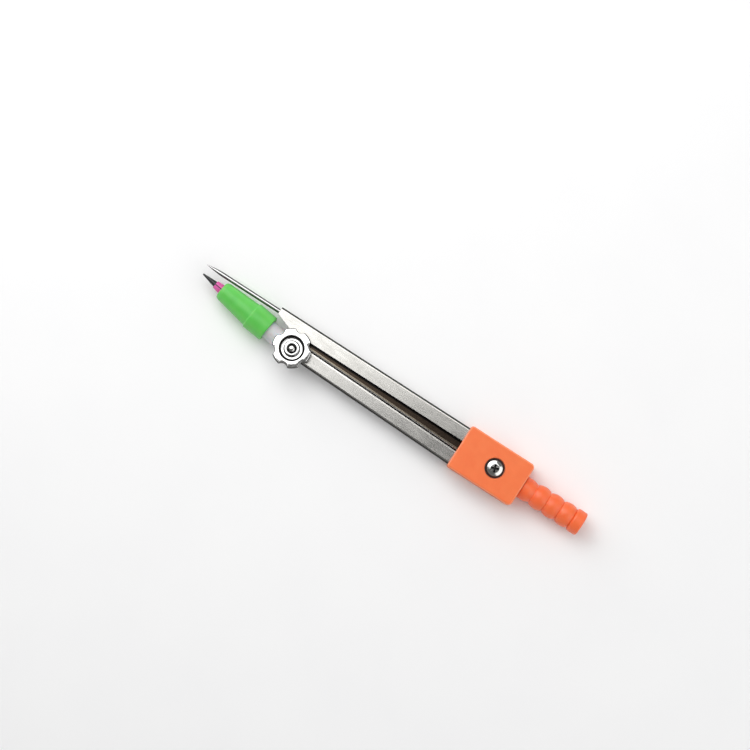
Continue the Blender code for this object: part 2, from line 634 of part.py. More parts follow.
pivot = new_empty("pivot_axis", (PIVOT_X, PIVOT_Y, 0))
needle_axis = new_empty("needle_leg_axis", (0, 0, 0), parent=pivot)
pencil_axis = new_empty("pencil_leg_axis", (0, 0, 0), PENCIL_LEG_TURN, pivot)
knee = new_empty("knee_axis", (-KNEE_REACH, -PENCIL_LEG_OFFSET, 0), parent=pencil_axis)
holder_axis = new_empty("holder_axis", (0, 0, LEG_MIDDLE), HOLDER_TURN - PENCIL_LEG_TURN, knee)

make_head()
make_handle()
make_pivot_hardware()
make_needle_leg()
make_pencil_leg()
make_knee_hardware()
make_thumb_nut()
make_lead_holder()
make_collet()
make_nose_cap()
make_lead()
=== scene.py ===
"""Looks of the drawing compass: finely rounded pieces and procedural materials on the CAD frame.

Metres, in the frame's own axes: +X from the points to the handle, +Y towards the needle leg,
+Z up. Each piece is built in the local frame of its joint and then put in place.
"""
import json
import math

import bmesh
import bpy
from mathutils import Matrix, Vector


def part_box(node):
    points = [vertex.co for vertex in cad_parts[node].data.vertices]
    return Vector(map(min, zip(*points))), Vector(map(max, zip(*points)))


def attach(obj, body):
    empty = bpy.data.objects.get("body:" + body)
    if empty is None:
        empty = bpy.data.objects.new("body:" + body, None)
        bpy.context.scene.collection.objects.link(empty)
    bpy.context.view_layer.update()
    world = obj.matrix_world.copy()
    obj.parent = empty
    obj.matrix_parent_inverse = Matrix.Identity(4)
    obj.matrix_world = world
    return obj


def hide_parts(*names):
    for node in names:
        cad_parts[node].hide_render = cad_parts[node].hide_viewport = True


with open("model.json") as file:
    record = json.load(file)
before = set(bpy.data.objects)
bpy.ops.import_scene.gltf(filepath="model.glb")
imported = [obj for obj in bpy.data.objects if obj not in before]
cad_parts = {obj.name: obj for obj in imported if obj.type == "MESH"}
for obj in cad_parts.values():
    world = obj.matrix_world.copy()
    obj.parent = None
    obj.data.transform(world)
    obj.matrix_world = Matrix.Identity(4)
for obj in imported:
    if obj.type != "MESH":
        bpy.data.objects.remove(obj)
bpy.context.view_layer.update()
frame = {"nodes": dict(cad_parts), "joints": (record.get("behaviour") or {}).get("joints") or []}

MM = 0.001

# Places and sizes that the frame gives
joints = {joint["name"]: joint for joint in frame["joints"]}
PIVOT = Vector(joints["needle_leg_swing"]["pos_m"])
KNEE = Vector(joints["knee_bend"]["pos_m"])
HOLDER_AXIS = Vector(joints["nose_cap_turn"]["axis"])
LEG_MIDDLE = PIVOT.z
head_low, head_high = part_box("head_yoke")
leg_low, leg_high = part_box("needle_leg")
nut_low, nut_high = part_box("thumb_nut")
needle_low, needle_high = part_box("needle")
bolt_low, bolt_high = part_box("knee_bolt")
screw_low, screw_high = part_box("pivot_screw")
handle_low, handle_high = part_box("handle")
LEG_BOTTOM, LEG_TOP = leg_low.z, leg_high.z

# Details of the shapes
SHEET = 0.6 * MM
LEG_WIDTH = 4.45 * MM
FOLD_OUTSIDE = 0.85 * MM
FOLD_INSIDE = 0.3 * MM
CHANNEL_START = 6.5 * MM
EAR_RADIUS = 4.3 * MM
PIVOT_HOLE = 2.08 * MM
KNEE_HOLE = 1.33 * MM
NOSE_LENGTH = 5.8 * MM
NOSE_CUT = 2.15 * MM
PENCIL_LEG_OFFSET = 4.49 * MM
PENCIL_LEG_TURN = math.radians(-1.4)
KNEE_REACH = 69.15 * MM
WEB_CUT_BACK = 3.6 * MM  # from the knee's axis
LIP_NEAR, LIP_FAR = 9.5 * MM, 66.5 * MM  # the back flanges are wider between these
LIP_SLOPE = 1.5 * MM
PENCIL_LIP = 0.55 * MM
LIP_GAP = 0.3 * MM
SLOT_REAR = 4.9 * MM
SWING_LIMIT = math.radians(60)
BACK_PLATE = 1.8 * MM
FRONT_PLATE = 2.0 * MM
CROSS_REACH = 1.5 * MM  # of the screw's recess, from its middle
PAST = 1.0 * MM  # how far a cutter runs past what it cuts
SLIVER = 0.001 * MM  # edges shorter than this are closed up

# Colours that more than one material has
# Near black, painted shade: in the screw's cross recess and on the legs' lips under the upper
# flanges
PAINTED_SHADE_BLACK = (0.012, 0.011, 0.01)
# Brown of old oil, darkened as painted shade, for the needle leg's lip between the legs
OIL_AND_SHADE_BROWN = (0.05, 0.034, 0.024)
PATINA = (0.16, 0.14, 0.12)

# Where the legs' inner faces are painted
MARGIN = 0.03 * MM
LIP_FACE = (LEG_BOTTOM + SHEET - MARGIN, LEG_BOTTOM + SHEET + MARGIN)  # of the back flange


# ---------------------------------------------------------------- frames

def turn_about_z(origin, angle=0.0):
    return Matrix.Translation(origin) @ Matrix.Rotation(angle, 4, "Z")


def along(origin, direction):
    """A frame whose Z runs along direction, with Y straight up."""
    axis = Vector(direction).normalized()
    up = Vector((0, 0, 1))
    side = up.cross(axis)
    place = Matrix((side, up, axis)).transposed().to_4x4()
    return Matrix.Translation(origin) @ place


AT_PIVOT = turn_about_z((PIVOT.x, PIVOT.y, 0))
AT_PENCIL_LEG = turn_about_z((PIVOT.x, PIVOT.y, 0), PENCIL_LEG_TURN)
AT_KNEE = turn_about_z((KNEE.x, KNEE.y, 0))
AT_HOLDER = along(KNEE, HOLDER_AXIS)
AT_NEEDLE = along((PIVOT.x, (needle_low.y + needle_high.y) / 2, LEG_MIDDLE), (-1, 0, 0))
AT_HANDLE = along((PIVOT.x, PIVOT.y, (handle_low.z + handle_high.z) / 2), (1, 0, 0))


# ---------------------------------------------------------------- outlines

def rounded(corners, closed=True, steps=6):
    """Points of an outline whose corners are (a, b) or (a, b, fillet radius)."""
    points = []
    count = len(corners)
    for i, corner in enumerate(corners):
        here = Vector(corner[:2])
        radius = corner[2] if len(corner) > 2 else 0
        at_end = not closed and i in (0, count - 1)
        if radius == 0 or at_end:
            points.append(here)
            continue
        back = (Vector(corners[i - 1][:2]) - here).normalized()
        on = (Vector(corners[(i + 1) % count][:2]) - here).normalized()
        half = back.angle(on) / 2
        centre = here + (back + on).normalized() * (radius / math.sin(half))
        start = here + back * (radius / math.tan(half)) - centre
        sweep = start.angle_signed(here + on * (radius / math.tan(half)) - centre)
        for k in range(steps + 1):
            turn = -sweep * k / steps
            points.append(centre + Matrix.Rotation(turn, 2) @ start)
    return points


def arc(centre, radius, start, end, steps):
    """Points on an arc, angles in degrees, both ends included."""
    points = []
    for k in range(steps + 1):
        angle = math.radians(start + (end - start) * k / steps)
        points.append(Vector((centre[0] + radius * math.cos(angle),
                              centre[1] + radius * math.sin(angle))))
    return points


# ---------------------------------------------------------------- meshes

def to_object(name, bm, place=Matrix.Identity(4)):
    bmesh.ops.remove_doubles(bm, verts=bm.verts, dist=1e-7)
    bmesh.ops.recalc_face_normals(bm, faces=bm.faces)
    mesh = bpy.data.meshes.new(name)
    bm.to_mesh(mesh)
    bm.free()
    obj = bpy.data.objects.new(name, mesh)
    bpy.context.scene.collection.objects.link(obj)
    obj.matrix_world = place
    return obj


def lathe(name, profile, place=Matrix.Identity(4), steps=96, closed=False, rim=None):
    """Turns (radius, height) points round Z. rim(angle, radius, height) may move a point."""
    bm = bmesh.new()
    rings = []
    for radius, height in profile:
        if radius < 1e-9:
            rings.append([bm.verts.new((0, 0, height))])
            continue
        ring = []
        for k in range(steps):
            angle = 2 * math.pi * k / steps
            reach, level = rim(angle, radius, height) if rim else (radius, height)
            ring.append(bm.verts.new((reach * math.cos(angle), reach * math.sin(angle), level)))
        rings.append(ring)
    pairs = list(zip(rings, rings[1:] + rings[:1] if closed else rings[1:]))
    for first, second in pairs:
        for k in range(steps):
            on = (k + 1) % steps
            corners = [first[k % len(first)], first[on % len(first)],
                       second[on % len(second)], second[k % len(second)]]
            face = list(dict.fromkeys(corners))
            if len(face) > 2:
                bm.faces.new(face)
    return to_object(name, bm, place)


def cylinder(name, radius, low, high, place=Matrix.Identity(4), steps=96):
    return lathe(name, [(0, low), (radius, low), (radius, high), (0, high)], place, steps)


def prism(name, outline, low, high, place=Matrix.Identity(4)):
    """An outline in XY with thickness along Z."""
    bm = bmesh.new()
    face = bm.faces.new([bm.verts.new((p[0], p[1], low)) for p in outline])
    pushed = bmesh.ops.extrude_face_region(bm, geom=[face])
    top = [item for item in pushed["geom"] if isinstance(item, bmesh.types.BMVert)]
    bmesh.ops.translate(bm, verts=top, vec=(0, 0, high - low))
    return to_object(name, bm, place)


def box(name, low, high):
    outline = [(low[0], low[1]), (high[0], low[1]), (high[0], high[1]), (low[0], high[1])]
    return prism(name, outline, low[2], high[2])


def apply_modifiers(obj):
    bpy.context.view_layer.update()
    evaluated = obj.evaluated_get(bpy.context.evaluated_depsgraph_get())
    mesh = bpy.data.meshes.new_from_object(evaluated)
    obj.modifiers.clear()
    obj.data = mesh
    return obj


def combine(obj, operation, *others):
    """Applies Booleans at once, and removes the objects that were used for them."""
    for other in others:
        modifier = obj.modifiers.new("Boolean", "BOOLEAN")
        modifier.operation = operation
        modifier.object = other
    apply_modifiers(obj)
    for other in others:
        bpy.data.objects.remove(other, do_unlink=True)
    return obj


def soften(obj, width, segments=3, angle=40):
    """Rounds every edge that is sharper than angle."""
    modifier = obj.modifiers.new("Round edges", "BEVEL")
    modifier.width = width
    modifier.segments = segments
    modifier.limit_method = "ANGLE"
    modifier.angle_limit = math.radians(angle)
    return apply_modifiers(obj)


def drop_slivers(obj):
    """Removes the faces without area that Booleans and bevels can leave."""
    bm = bmesh.new()
    bm.from_mesh(obj.data)
    bmesh.ops.dissolve_degenerate(bm, dist=SLIVER, edges=bm.edges)
    bm.to_mesh(obj.data)
    bm.free()


def finish_piece(obj, material, body, node, sharp=32):
    """Gives a piece its material and shading, and stands it in for its CAD node."""
    drop_slivers(obj)
    obj.data.materials.clear()
    obj.data.materials.append(material)
    obj.data.shade_smooth()
    obj.data.set_sharp_from_angle(angle=math.radians(sharp))
    flatten = obj.modifiers.new("Flat faces stay flat", "WEIGHTED_NORMAL")
    flatten.weight = 100
    flatten.keep_sharp = True
    apply_modifiers(obj)
    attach(obj, body)
    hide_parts(node)
    return obj


# ---------------------------------------------------------------- materials

# Sockets of a colour Mix node, whose names it shares with its other data types
MIX_FACTOR, MIX_A, MIX_B, MIX_RESULT = 0, 6, 7, 2


class Surface:
    """A Principled material with helpers that add procedural detail to it."""

    def __init__(self, name, colour, roughness, metallic=0.0, **sockets):
        self.name = name
        self.material = bpy.data.materials.new(name + "_look")
        self.material.use_nodes = True
        self.tree = self.material.node_tree
        self.shader = self.tree.nodes["Principled BSDF"]
        self.colour = colour
        self.shader.inputs["Base Color"].default_value = (*colour, 1)
        self.shader.inputs["Roughness"].default_value = roughness
        self.shader.inputs["Metallic"].default_value = metallic
        for socket, value in sockets.items():
            self.shader.inputs[socket.replace("_", " ")].default_value = value

    def node(self, kind, **values):
        node = self.tree.nodes.new(kind)
        for key, value in values.items():
            if key in node.inputs:
                node.inputs[key].default_value = value
            else:
                setattr(node, key, value)
        return node

    def link(self, output, target):
        self.tree.links.new(output, target)

    def noise(self, size, detail=4.0, stretch=(1, 1, 1)):
        """Noise whose features are about size long in metres, times stretch along each axis."""
        coords = self.node("ShaderNodeTexCoord")
        scale = self.node("ShaderNodeMapping")
        scale.inputs["Scale"].default_value = [1 / (size * s) for s in stretch]
        noise = self.node("ShaderNodeTexNoise", Scale=1.0, Detail=detail, Roughness=0.55)
        self.link(coords.outputs["Object"], scale.inputs["Vector"])
        self.link(scale.outputs["Vector"], noise.inputs["Vector"])
        return noise.outputs["Fac"]

    def spread(self, value, low, high, start=0.3, end=0.7):
        """Maps a noise value onto low to high."""
        ramp = self.node("ShaderNodeMapRange")
        for socket, number in (("From Min", start), ("From Max", end),
                               ("To Min", low), ("To Max", high)):
            ramp.inputs[socket].default_value = number
        self.link(value, ramp.inputs["Value"])
        return ramp.outputs["Result"]

    def mix_colour(self, factor, other, amount=1.0, start=0.3, end=0.7):
        """Blends another colour over what the base colour has so far."""
        mix = self.node("ShaderNodeMix", data_type="RGBA")
        base = self.shader.inputs["Base Color"]
        if base.links:
            self.link(base.links[0].from_socket, mix.inputs[MIX_A])
        else:
            mix.inputs[MIX_A].default_value = (*self.colour, 1)
        mix.inputs[MIX_B].default_value = (*other, 1)
        self.link(self.spread(factor, 0.0, amount, start, end), mix.inputs[MIX_FACTOR])
        self.link(mix.outputs[MIX_RESULT], base)

    def paint(self, region, other, amount):
        """Another colour all over a region that within gives."""
        self.mix_colour(region, other, amount, 0.0, 1.0)

    def vary_roughness(self, factor, low, high):
        self.link(self.spread(factor, low, high), self.shader.inputs["Roughness"])

    def bump(self, factor, distance, strength):
        """Adds relief that is distance deep, in metres, over any relief so far."""
        bump = self.node("ShaderNodeBump", Distance=distance, Strength=strength)
        self.link(factor, bump.inputs["Height"])
        normal = self.shader.inputs["Normal"]
        if normal.links:
            self.link(normal.links[0].from_socket, bump.inputs["Normal"])
        self.link(bump.outputs["Normal"], normal)

    def lean(self, axis):
        """How much the surface faces along an axis of the piece's own, from 0 to 1."""
        coords = self.node("ShaderNodeTexCoord")
        split = self.node("ShaderNodeSeparateXYZ")
        size = self.node("ShaderNodeMath", operation="ABSOLUTE")
        self.link(coords.outputs["Normal"], split.inputs["Vector"])
        self.link(split.outputs[axis], size.inputs[0])
        return size.outputs[0]

    def dark_reflection_on_bends(self, other, amount, axis="Z"):
        """Painted dark reflection where the surface turns from facing along an axis to facing
        across it.
        """
        across = self.node("ShaderNodeMath", operation="SUBTRACT")
        across.inputs[0].default_value = 1.0
        self.link(self.lean(axis), across.inputs[1])
        both = self.node("ShaderNodeMath", operation="MULTIPLY")
        self.link(self.lean(axis), both.inputs[0])
        self.link(across.outputs[0], both.inputs[1])
        flat, round_bend = 0.06, 0.16
        self.mix_colour(both.outputs[0], other, amount, flat, round_bend)

    def wear_and_highlight_on_edges(self, other, amount):
        """Another colour on rounded edges, which face along none of the piece's axes: edge wear
        and a painted highlight.
        """
        most = self.lean("X")
        for axis in "YZ":
            larger = self.node("ShaderNodeMath", operation="MAXIMUM")
            self.link(most, larger.inputs[0])
            self.link(self.lean(axis), larger.inputs[1])
            most = larger.outputs[0]
        flat, round_edge = 0.97, 0.8
        self.mix_colour(most, other, amount, flat, round_edge)

    def within(self, turn=0.0, **limits):
        """1 inside a region of the piece's own space, where limits are Axis=(low, high).

        An axis with an underscore, such as Y_, is measured without its sign. The axes may be
        turned about Z.
        """
        coords = self.node("ShaderNodeTexCoord")
        turned = self.node("ShaderNodeMapping")
        turned.inputs["Rotation"].default_value = (0, 0, -turn)
        split = self.node("ShaderNodeSeparateXYZ")
        self.link(coords.outputs["Object"], turned.inputs["Vector"])
        self.link(turned.outputs["Vector"], split.inputs["Vector"])
        inside = None
        for axis, (low, high) in limits.items():
            place = split.outputs[axis[0]]
            if axis.endswith("_"):
                size = self.node("ShaderNodeMath", operation="ABSOLUTE")
                self.link(place, size.inputs[0])
                place = size.outputs[0]
            test = self.node("ShaderNodeMath", operation="COMPARE")
            test.inputs[1].default_value = (low + high) / 2
            test.inputs[2].default_value = (high - low) / 2
            self.link(place, test.inputs[0])
            if inside is None:
                inside = test.outputs[0]
                continue
            both = self.node("ShaderNodeMath", operation="MULTIPLY")
            self.link(inside, both.inputs[0])
            self.link(test.outputs[0], both.inputs[1])
            inside = both.outputs[0]
        return inside


def moulded_plastic(name, colour, deep, roughness, **sockets):
    """Injection-moulded plastic: fine texture from the mould, and slight flow variation."""
    surface = Surface(name, colour, roughness, **sockets)
    surface.mix_colour(surface.noise(4 * MM, detail=3), deep, 0.45)
    surface.vary_roughness(surface.noise(0.6 * MM), roughness - 0.05, roughness + 0.08)
    surface.bump(surface.noise(0.35 * MM, detail=5), 0.012 * MM, 0.5)
    surface.bump(surface.noise(3.5 * MM, detail=2), 0.02 * MM, 0.4)
    return surface


def make_plastics():
    orange = moulded_plastic("orange_plastic", (0.93, 0.2, 0.055), (0.85, 0.14, 0.035), 0.42,
                             Subsurface_Weight=0.15, Subsurface_Scale=0.6 * MM)
    # Lighter rounded edges: wear and a painted highlight
    orange.wear_and_highlight_on_edges((1.0, 0.4, 0.22), 0.6)
    handle = moulded_plastic("handle_orange", (0.95, 0.18, 0.055), (0.9, 0.12, 0.03), 0.33,
                             Subsurface_Weight=0.25, Subsurface_Scale=1.2 * MM)
    green = moulded_plastic("green_plastic", (0.12, 0.58, 0.09), (0.07, 0.44, 0.06), 0.36,
                            Subsurface_Weight=0.2, Subsurface_Scale=0.8 * MM)
    # Lighter rounded edges: wear and a painted highlight
    green.wear_and_highlight_on_edges((0.2, 0.7, 0.15), 0.3)
    milky = moulded_plastic("milky_plastic", (0.7, 0.7, 0.71), (0.58, 0.58, 0.6), 0.34,
                            Subsurface_Weight=0.4, Subsurface_Scale=1.5 * MM)
    pink = moulded_plastic("pink_plastic", (0.78, 0.13, 0.43), (0.62, 0.07, 0.3), 0.38,
                           Subsurface_Weight=0.2, Subsurface_Scale=0.5 * MM)
    nylon = moulded_plastic("nylon", (0.8, 0.78, 0.72), (0.7, 0.68, 0.6), 0.5)
    return [orange, handle, green, milky, pink, nylon]


def leg_steel(name, bright, outer):
    """Brushed sheet with a painted dark reflection on the folds and a dull inside. outer is the
    leg's outer side, in Y.
    """
    leg = Surface(name, bright, 0.3, 1.0)
    grain = leg.noise(0.09 * MM, detail=3, stretch=(60, 1, 1))
    cloud = leg.noise(2.2 * MM, detail=5, stretch=(2.5, 1, 1))
    leg.mix_colour(cloud, (0.46, 0.45, 0.42), 0.5)
    leg.mix_colour(grain, (0.74, 0.73, 0.70), 0.5)
    leg.vary_roughness(cloud, 0.18, 0.26)
    leg.bump(grain, 0.005 * MM, 0.6)
    leg.bump(leg.noise(0.25 * MM, detail=4), 0.004 * MM, 0.5)
    # Painted dark reflection on the folds
    leg.dark_reflection_on_bends((0.015, 0.015, 0.014), 0.98)
    inside = leg.within(Z=(LEG_BOTTOM + SHEET - MARGIN, LEG_TOP - SHEET + MARGIN),
                        Y_=(-PAST, outer - SHEET + MARGIN))
    leg.paint(inside, PATINA, 0.75)
    return leg


def needle_leg_steel():
    """The upper side of the back flange shows between the legs: old oil darkened as painted shade,
    a painted shadow under the upper flange's edge, and a painted highlight strip along the lip's
    edge.
    """
    outer = leg_high.y - PIVOT.y
    inner = outer - LEG_WIDTH
    leg = leg_steel("needle_leg", (0.62, 0.61, 0.58), outer)
    # Painted shade, with an oil brown, over the lip between the legs
    leg.paint(leg.within(Z=LIP_FACE, Y=(-EAR_RADIUS, inner)), OIL_AND_SHADE_BROWN, 0.96)
    # Painted shadow under the upper flange's inner edge
    corner = leg.within(Z=LIP_FACE, Y=(inner - 0.65 * MM, inner + 0.8 * MM))
    leg.paint(corner, PAINTED_SHADE_BLACK, 1.0)
    edge = PENCIL_LIP + LIP_GAP + LEG_WIDTH / 2 - PENCIL_LEG_OFFSET
    # Painted highlight along the lip's edge, next to the pencil leg's lip
    lip_edge_highlight = leg.within(PENCIL_LEG_TURN, Z=LIP_FACE, X=(-LIP_FAR, -LIP_NEAR),
                      Y=(edge - 0.1 * MM, edge + 0.4 * MM))
    leg.paint(lip_edge_highlight, (0.3, 0.26, 0.2), 0.9)
    return leg


def pencil_leg_steel():
    """The upper flange's inner edge gets a painted highlight, and the lip under it painted shade.
    """
    outer = PENCIL_LEG_OFFSET + LEG_WIDTH / 2
    inner = outer - LEG_WIDTH
    leg = leg_steel("pencil_leg", (0.54, 0.53, 0.51), outer)
    # Painted highlight along the upper flange's inner edge
    flange_edge_highlight = leg.within(Y_=(inner - MARGIN, inner + 0.4 * MM),
                         Z=(LEG_TOP - SHEET / 2, LEG_TOP + MARGIN))
    leg.paint(flange_edge_highlight, (1.0, 0.98, 0.94), 0.95)
    # Painted shade on the lip under the upper flange
    leg.paint(leg.within(Z=LIP_FACE, Y_=(-PAST, inner + 0.8 * MM)), PAINTED_SHADE_BLACK, 1.0)
    return leg


def bright_steel(name):
    steel = Surface(name, (0.74, 0.74, 0.72), 0.14, 1.0)
    steel.vary_roughness(steel.noise(0.8 * MM), 0.09, 0.22)
    steel.mix_colour(steel.noise(0.5 * MM, detail=5), (0.58, 0.57, 0.55), 0.4)
    steel.bump(steel.noise(0.15 * MM, detail=4), 0.003 * MM, 0.5)
    # Painted dark reflection where the surface turns
    steel.dark_reflection_on_bends((0.03, 0.03, 0.03), 0.85)
    return steel


def screw_steel():
    """Bright steel with painted shade in the cross recess."""
    steel = bright_steel("screw_steel")
    # Painted shade in the cross recess
    recess = steel.within(Z=(LEG_TOP, screw_high.z - 0.28 * MM),
                          X_=(-PAST, CROSS_REACH), Y_=(-PAST, CROSS_REACH))
    steel.paint(recess, PAINTED_SHADE_BLACK, 0.9)
    return steel


def needle_steel():
    """Ground steel, with fine rings round it."""
    needle = Surface("needle_steel", (0.66, 0.66, 0.66), 0.16, 1.0)
    rings = needle.noise(0.05 * MM, detail=2, stretch=(30, 30, 1))
    needle.vary_roughness(rings, 0.12, 0.26)
    needle.mix_colour(needle.noise(3 * MM), (0.5, 0.5, 0.5), 0.4)
    needle.bump(rings, 0.003 * MM, 0.5)
    # Painted dark reflection on the needle's flanks
    needle.dark_reflection_on_bends((0.02, 0.02, 0.02), 0.85, "Y")
    return needle


def chrome_plate():
    chrome = Surface("chrome", (0.9, 0.9, 0.89), 0.06, 1.0)
    chrome.vary_roughness(chrome.noise(1.2 * MM, detail=5), 0.04, 0.13)
    chrome.mix_colour(chrome.noise(2 * MM), (0.8, 0.8, 0.79), 0.4)
    chrome.bump(chrome.noise(0.7 * MM, detail=3), 0.006 * MM, 0.35)
    # Painted dark reflection on the nut's rounded edges and dish wall
    chrome.dark_reflection_on_bends((0.015, 0.015, 0.015), 0.95)
    return chrome


def plain_steels():
    """The steel of the spring washer, which is blackened, and of the needle's wedge."""
    dark = Surface("dark_steel", (0.07, 0.066, 0.062), 0.35, 1.0)
    dark.vary_roughness(dark.noise(0.3 * MM), 0.28, 0.5)
    dark.mix_colour(dark.noise(0.6 * MM), (0.03, 0.03, 0.03), 0.6)
    dull = Surface("dull_steel", (0.42, 0.41, 0.39), 0.42, 1.0)
    dull.vary_roughness(dull.noise(0.3 * MM), 0.34, 0.55)
    dull.mix_colour(dull.noise(0.8 * MM), (0.3, 0.29, 0.28), 0.6)
    return [dark, dull]


def lead_graphite():
    """Sharpened graphite, with streaks along it."""
    graphite = Surface("graphite", (0.004, 0.0045, 0.0055), 0.26, 0.0, Specular_IOR_Level=0.6)
    streaks = graphite.noise(0.08 * MM, detail=4, stretch=(1, 1, 8))
    graphite.mix_colour(streaks, (0.016, 0.017, 0.02), 0.7)
    graphite.vary_roughness(streaks, 0.2, 0.36)
    graphite.bump(streaks, 0.012 * MM, 0.8)
    return graphite


def make_materials():
    surfaces = [*make_plastics(), needle_leg_steel(), pencil_leg_steel(),
                bright_steel("bright_steel"), screw_steel(), needle_steel(), chrome_plate(),
                *plain_steels(), lead_graphite()]
    return {surface.name: surface.material for surface in surfaces}


# ---------------------------------------------------------------- head and handle

def make_head():
    """The yoke: two plates joined at the handle's end, with well rounded edges."""
    front, rear = head_low.x - PIVOT.x, head_high.x - PIVOT.x
    half = (head_high.y - head_low.y) / 2
    top = head_high.z
    front_corner, rear_corner, edge, cut_edge = 0.8 * MM, 1.3 * MM, 0.6 * MM, 0.16 * MM
    outline = rounded([(front, -half, front_corner), (rear, -half, rear_corner),
                       (rear, half, rear_corner), (front, half, front_corner)], steps=8)
    head = soften(prism("yoke", outline, 0, top), edge, 5)

    slot_corner = 0.5 * MM
    slot = prism("slot", rounded([(front - PAST, BACK_PLATE),
                                  (SLOT_REAR, BACK_PLATE, slot_corner),
                                  (SLOT_REAR, top - FRONT_PLATE, slot_corner),
                                  (front - PAST, top - FRONT_PLATE)]),
                 -half - PAST, half + PAST, Matrix.Rotation(math.pi / 2, 4, "X"))
    bore = cylinder("bore", PIVOT_HOLE, -PAST, top + PAST, steps=64)
    counterbore = cylinder("counterbore", 3.1 * MM, top - 1.3 * MM, top + PAST)
    back = cylinder("back_counterbore", 3.0 * MM, -PAST, 1.0 * MM)
    socket = cylinder("socket", 2.05 * MM, 0, 5.0 * MM, along((6.3 * MM, 0, top / 2), (1, 0, 0)))
    combine(head, "DIFFERENCE", slot, bore, counterbore, back, socket)
    soften(head, cut_edge, 3, 50)
    head.matrix_world = AT_PIVOT
    finish_piece(head, materials["orange_plastic"], "head", "head_yoke")


def make_handle():
    """Three swelling ribs and an end disc, turned on a spigot that fills the head's socket."""
    spigot_end, end = handle_low.x - PIVOT.x, handle_high.x - PIVOT.x
    collar = head_high.x - PIVOT.x + 0.1 * MM
    collar_end = collar + 2.2 * MM
    spigot, groove = 1.95 * MM, 3.0 * MM
    rib = (handle_high.z - handle_low.z) / 2 - 0.12 * MM
    ribs, first_groove, rib_length = 3, 13.8 * MM, 4.5 * MM
    last_groove = first_groove + ribs * rib_length
    profile = [Vector((0, spigot_end)), Vector((spigot, spigot_end))]
    profile += rounded([(spigot, spigot_end), (spigot, collar), (3.55 * MM, collar, 0.25 * MM),
                        (3.5 * MM, collar_end, 1.0 * MM), (groove, first_groove)],
                       closed=False)[1:-1]
    fullness, swell_steps = 0.62, 16
    for k in range(ribs * swell_steps):
        swell = math.sin(math.pi * (k % swell_steps) / swell_steps) ** fullness
        profile.append(Vector((groove + (rib - groove) * swell,
                               first_groove + rib_length * k / swell_steps)))
    profile += rounded([(groove, last_groove), (rib, last_groove + 0.25 * MM, 0.7 * MM),
                        (rib, end, 0.6 * MM), (0, end)], closed=False, steps=8)
    handle = lathe("ribbed_handle", profile, AT_HANDLE, steps=128)
    finish_piece(handle, materials["handle_orange"], "head", "handle", 40)


# ---------------------------------------------------------------- pivot hardware

def cross_cutter(top, reach, wide, deep):
    """The tapered four-winged point of a cross-head driver."""
    reach_taper, width_taper, above = 0.42, 0.7, 0.3 * MM
    wings = []
    for name, angle in (("wing_a", 0), ("wing_b", math.pi / 2)):
        bm = bmesh.new()
        bmesh.ops.create_cube(bm, size=1.0)
        for vert in bm.verts:
            if vert.co.z < 0:
                vert.co = (vert.co.x * 2 * reach * reach_taper, vert.co.y * wide * width_taper,
                           top - deep)
            else:
                vert.co = (vert.co.x * 2 * reach, vert.co.y * wide, top + above)
        wings.append(to_object(name, bm, Matrix.Rotation(angle, 4, "Z")))
    return wings


def make_pivot_screw():
    """A domed head on a plain shank, with a cross recess that is turned a little."""
    top, end = screw_high.z, screw_low.z
    seat = top - 1.15 * MM
    head_radius, flat_radius = (screw_high.x - screw_low.x) / 2, 1.35 * MM
    shank = 1.22 * MM
    profile = [Vector((0, top))]
    profile += rounded([(0, top), (flat_radius, top - 0.02 * MM, 1.2 * MM),
                        (head_radius, top - 0.42 * MM, 0.5 * MM),
                        (head_radius, seat, 0.08 * MM), (shank, seat, 0.1 * MM),
                        (shank, end + 0.3 * MM, 0.05 * MM), (shank - 0.25 * MM, end),
                        (0, end)], closed=False)[1:]
    screw = lathe("cross_head_screw", profile)
    wide, deep, turn = 0.66 * MM, 0.9 * MM, math.radians(20)
    combine(screw, "DIFFERENCE", *cross_cutter(top, CROSS_REACH, wide, deep))
    screw.matrix_world = AT_PIVOT @ Matrix.Rotation(turn, 4, "Z")
    finish_piece(screw, materials["screw_steel"], "head", "pivot_screw")


# ---------------------------------------------------------------- legs

def fold_sheet(name, inner, outer, start, end):
    """A folded sheet channel along X, whose flanges reach inward past the ear."""
    section = rounded([(inner, LEG_BOTTOM), (outer, LEG_BOTTOM, FOLD_OUTSIDE),
                       (outer, LEG_TOP, FOLD_OUTSIDE), (inner, LEG_TOP),
                       (inner, LEG_TOP - SHEET), (outer - SHEET, LEG_TOP - SHEET, FOLD_INSIDE),
                       (outer - SHEET, LEG_BOTTOM + SHEET, FOLD_INSIDE),
                       (inner, LEG_BOTTOM + SHEET)], steps=8)
    bm = bmesh.new()
    face = bm.faces.new([bm.verts.new((start, p[0], p[1])) for p in section])
    pushed = bmesh.ops.extrude_face_region(bm, geom=[face])
    moved = [item for item in pushed["geom"] if isinstance(item, bmesh.types.BMVert)]
    bmesh.ops.translate(bm, verts=moved, vec=(end - start, 0, 0))
    return to_object(name, bm)


def ear_outline(inner, outer, swing):
    """The leg's outline round its ear, from the inner edge to past the outer edge.

    Its square shoulder stays clear of the head's slot when the leg has swung out.
    """
    corner, clearance = 0.8 * MM, 0.3 * MM
    shoulder = (outer * math.sin(swing) - SLOT_REAR + clearance) / math.cos(swing)
    start = 180 - math.degrees(math.asin(inner / EAR_RADIUS))
    stop = 540 - math.degrees(math.acos(shoulder / EAR_RADIUS))
    around = arc((0, 0), EAR_RADIUS, start, stop, 72)
    around += arc((-shoulder - corner, outer - corner), corner, 0, 90, 8)
    return around + [Vector((-shoulder - corner, outer + PAST))]


